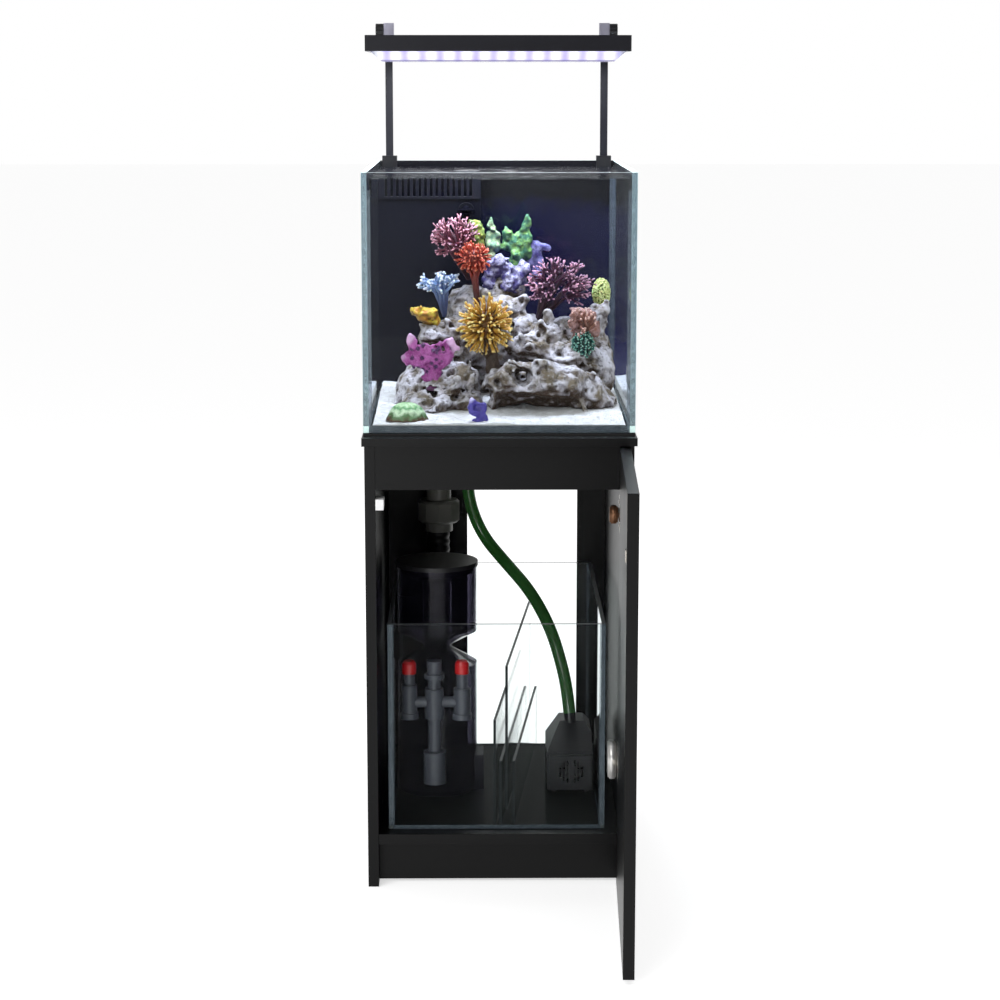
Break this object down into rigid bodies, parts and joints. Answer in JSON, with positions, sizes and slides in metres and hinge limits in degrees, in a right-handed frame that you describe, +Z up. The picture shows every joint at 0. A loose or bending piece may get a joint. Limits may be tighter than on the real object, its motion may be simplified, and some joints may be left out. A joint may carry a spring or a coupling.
{
  "type": "aquarium on stand",
  "caption": "Reef aquarium on a black cabinet with an open door: glass tank, LED lamp on posts, overflow, and a sump with skimmer, return pump and hoses.",
  "frame": {"origin": "on the floor, at the centre of the cabinet's footprint", "axes": "+Z up, +X to the right of someone facing the door, +Y to the back"},
  "size_m": [0.404, 0.918, 1.2985],
  "materials": {
    "laminate": "black satin melamine on particle board",
    "foam": "closed-cell black foam sheet",
    "catch_plastic": "white moulded plastic with a magnet inside",
    "steel": "nickel-plated pressed steel",
    "tank_glass": "polished float glass",
    "back_film_glass": "float glass with deep blue film on its outside",
    "silicone": "clear silicone",
    "smoked_acrylic": "dark smoked acrylic",
    "black_plastic": "moulded black plastic",
    "grey_pvc": "grey pressure-pipe PVC",
    "black_rubber": "ribbed black hose",
    "green_hose": "translucent green PVC hose",
    "sand": "white aragonite sand",
    "rock": "porous reef rock",
    "coral_gold": "spiky golden coral",
    "coral_magenta": "spotted magenta plate coral",
    "coral_purple": "dark purple branching coral with pale tips",
    "coral_mixed": "small coral heads in several colours",
    "black_anodised": "black anodised aluminium",
    "satin_aluminium": "satin aluminium",
    "diffuser": "clear acrylic lens, lit from inside",
    "led_white": "white board with light-emitting diodes",
    "sump_glass": "float glass with ground edges",
    "red_plastic": "red moulded caps",
    "ceramic_shaft": "ground ceramic rod"
  },
  "bodies": {
    "cabinet": {"side_panel_left": "laminate", "side_panel_right": "laminate", "top_board": "laminate", "foam_mat": "foam", "base_shelf": "laminate", "plinth_rails": "laminate", "shelf_bearer": "laminate", "fascia_rail": "laminate", "back_panels": "laminate", "door_catch": "catch_plastic", "hinge_arms": "steel", "hinge_plates": "steel", "hinge_screws": "steel", "tank_front": "tank_glass", "tank_back": "back_film_glass", "tank_side_left": "tank_glass", "tank_side_right": "tank_glass", "tank_bottom": "tank_glass", "silicone_seams": "silicone", "overflow_box": "smoked_acrylic", "overflow_comb": "black_plastic", "drain_bulkhead": "grey_pvc", "standpipe": "grey_pvc", "drain_downpipe": "grey_pvc", "union_nut": "grey_pvc", "union_tail": "grey_pvc", "drain_hose": "black_rubber", "return_bulkhead": "grey_pvc", "return_hose": "green_hose", "sand_bed": "sand", "live_rock": "rock", "coral_gold_ball": "coral_gold", "coral_magenta_plate": "coral_magenta", "coral_purple_tree": "coral_purple", "coral_crown": "coral_mixed", "lamp_posts": "black_anodised", "post_clamps": "black_plastic", "sump_bottom": "sump_glass", "sump_end_panes": "sump_glass", "sump_side_panes": "sump_glass", "sump_baffles": "sump_glass", "skimmer_body": "smoked_acrylic", "skimmer_manifold": "grey_pvc", "manifold_caps": "red_plastic", "return_pump": "black_plastic", "pump_cover": "black_plastic", "pump_shaft": "ceramic_shaft"},
    "door": {"door_panel": "laminate", "hinge_cups": "steel", "hinge_pins": "steel", "catch_plate": "steel"},
    "lamp": {"lamp_housing": "black_anodised", "lamp_lens": "diffuser", "led_board": "led_white", "lamp_arms": "satin_aluminium"},
    "knob_left": {"clamp_knob_left": "black_plastic"},
    "knob_right": {"clamp_knob_right": "black_plastic"},
    "skimmer_cup": {"skimmer_cup": "smoked_acrylic"},
    "skimmer_lid": {"skimmer_cup_lid": "black_plastic"},
    "pump_rotor": {"pump_rotor": "black_plastic"},
    "return_nozzle": {"return_nozzle": "black_plastic"}
  },
  "joints": [
    {"name": "door_hinge", "type": "hinge", "parent": "cabinet", "child": "door", "pos_m": [0.188, -0.27071, 0.345], "axis": [0, 0, 1], "range_deg": [-88, 17]},
    {"name": "lamp_height", "type": "slide", "parent": "cabinet", "child": "lamp", "axis": [0, 0, 1], "range_m": [-0.14, 0]},
    {"name": "knob_left_turn", "type": "hinge", "parent": "lamp", "child": "knob_left", "pos_m": [-0.19, 0.251, 1.287], "axis": [-1, 0, 0], "range_deg": [0, 360]},
    {"name": "knob_right_turn", "type": "hinge", "parent": "lamp", "child": "knob_right", "pos_m": [0.19, 0.251, 1.287], "axis": [1, 0, 0], "range_deg": [0, 360]},
    {"name": "cup_lift", "type": "slide", "parent": "cabinet", "child": "skimmer_cup", "axis": [0, 0, 1], "range_m": [0, 0.12]},
    {"name": "lid_lift", "type": "slide", "parent": "skimmer_cup", "child": "skimmer_lid", "axis": [0, 0, 1], "range_m": [0, 0.05]},
    {"name": "rotor_spin", "type": "hinge", "parent": "cabinet", "child": "pump_rotor", "pos_m": [0.116, -0.04, 0.124], "axis": [0, 1, 0], "continuous": true},
    {"name": "nozzle_swivel", "type": "hinge", "parent": "cabinet", "child": "return_nozzle", "pos_m": [-0.05, 0.134, 1], "axis": [0, 0, 1], "range_deg": [-20, 20]}
  ]
}
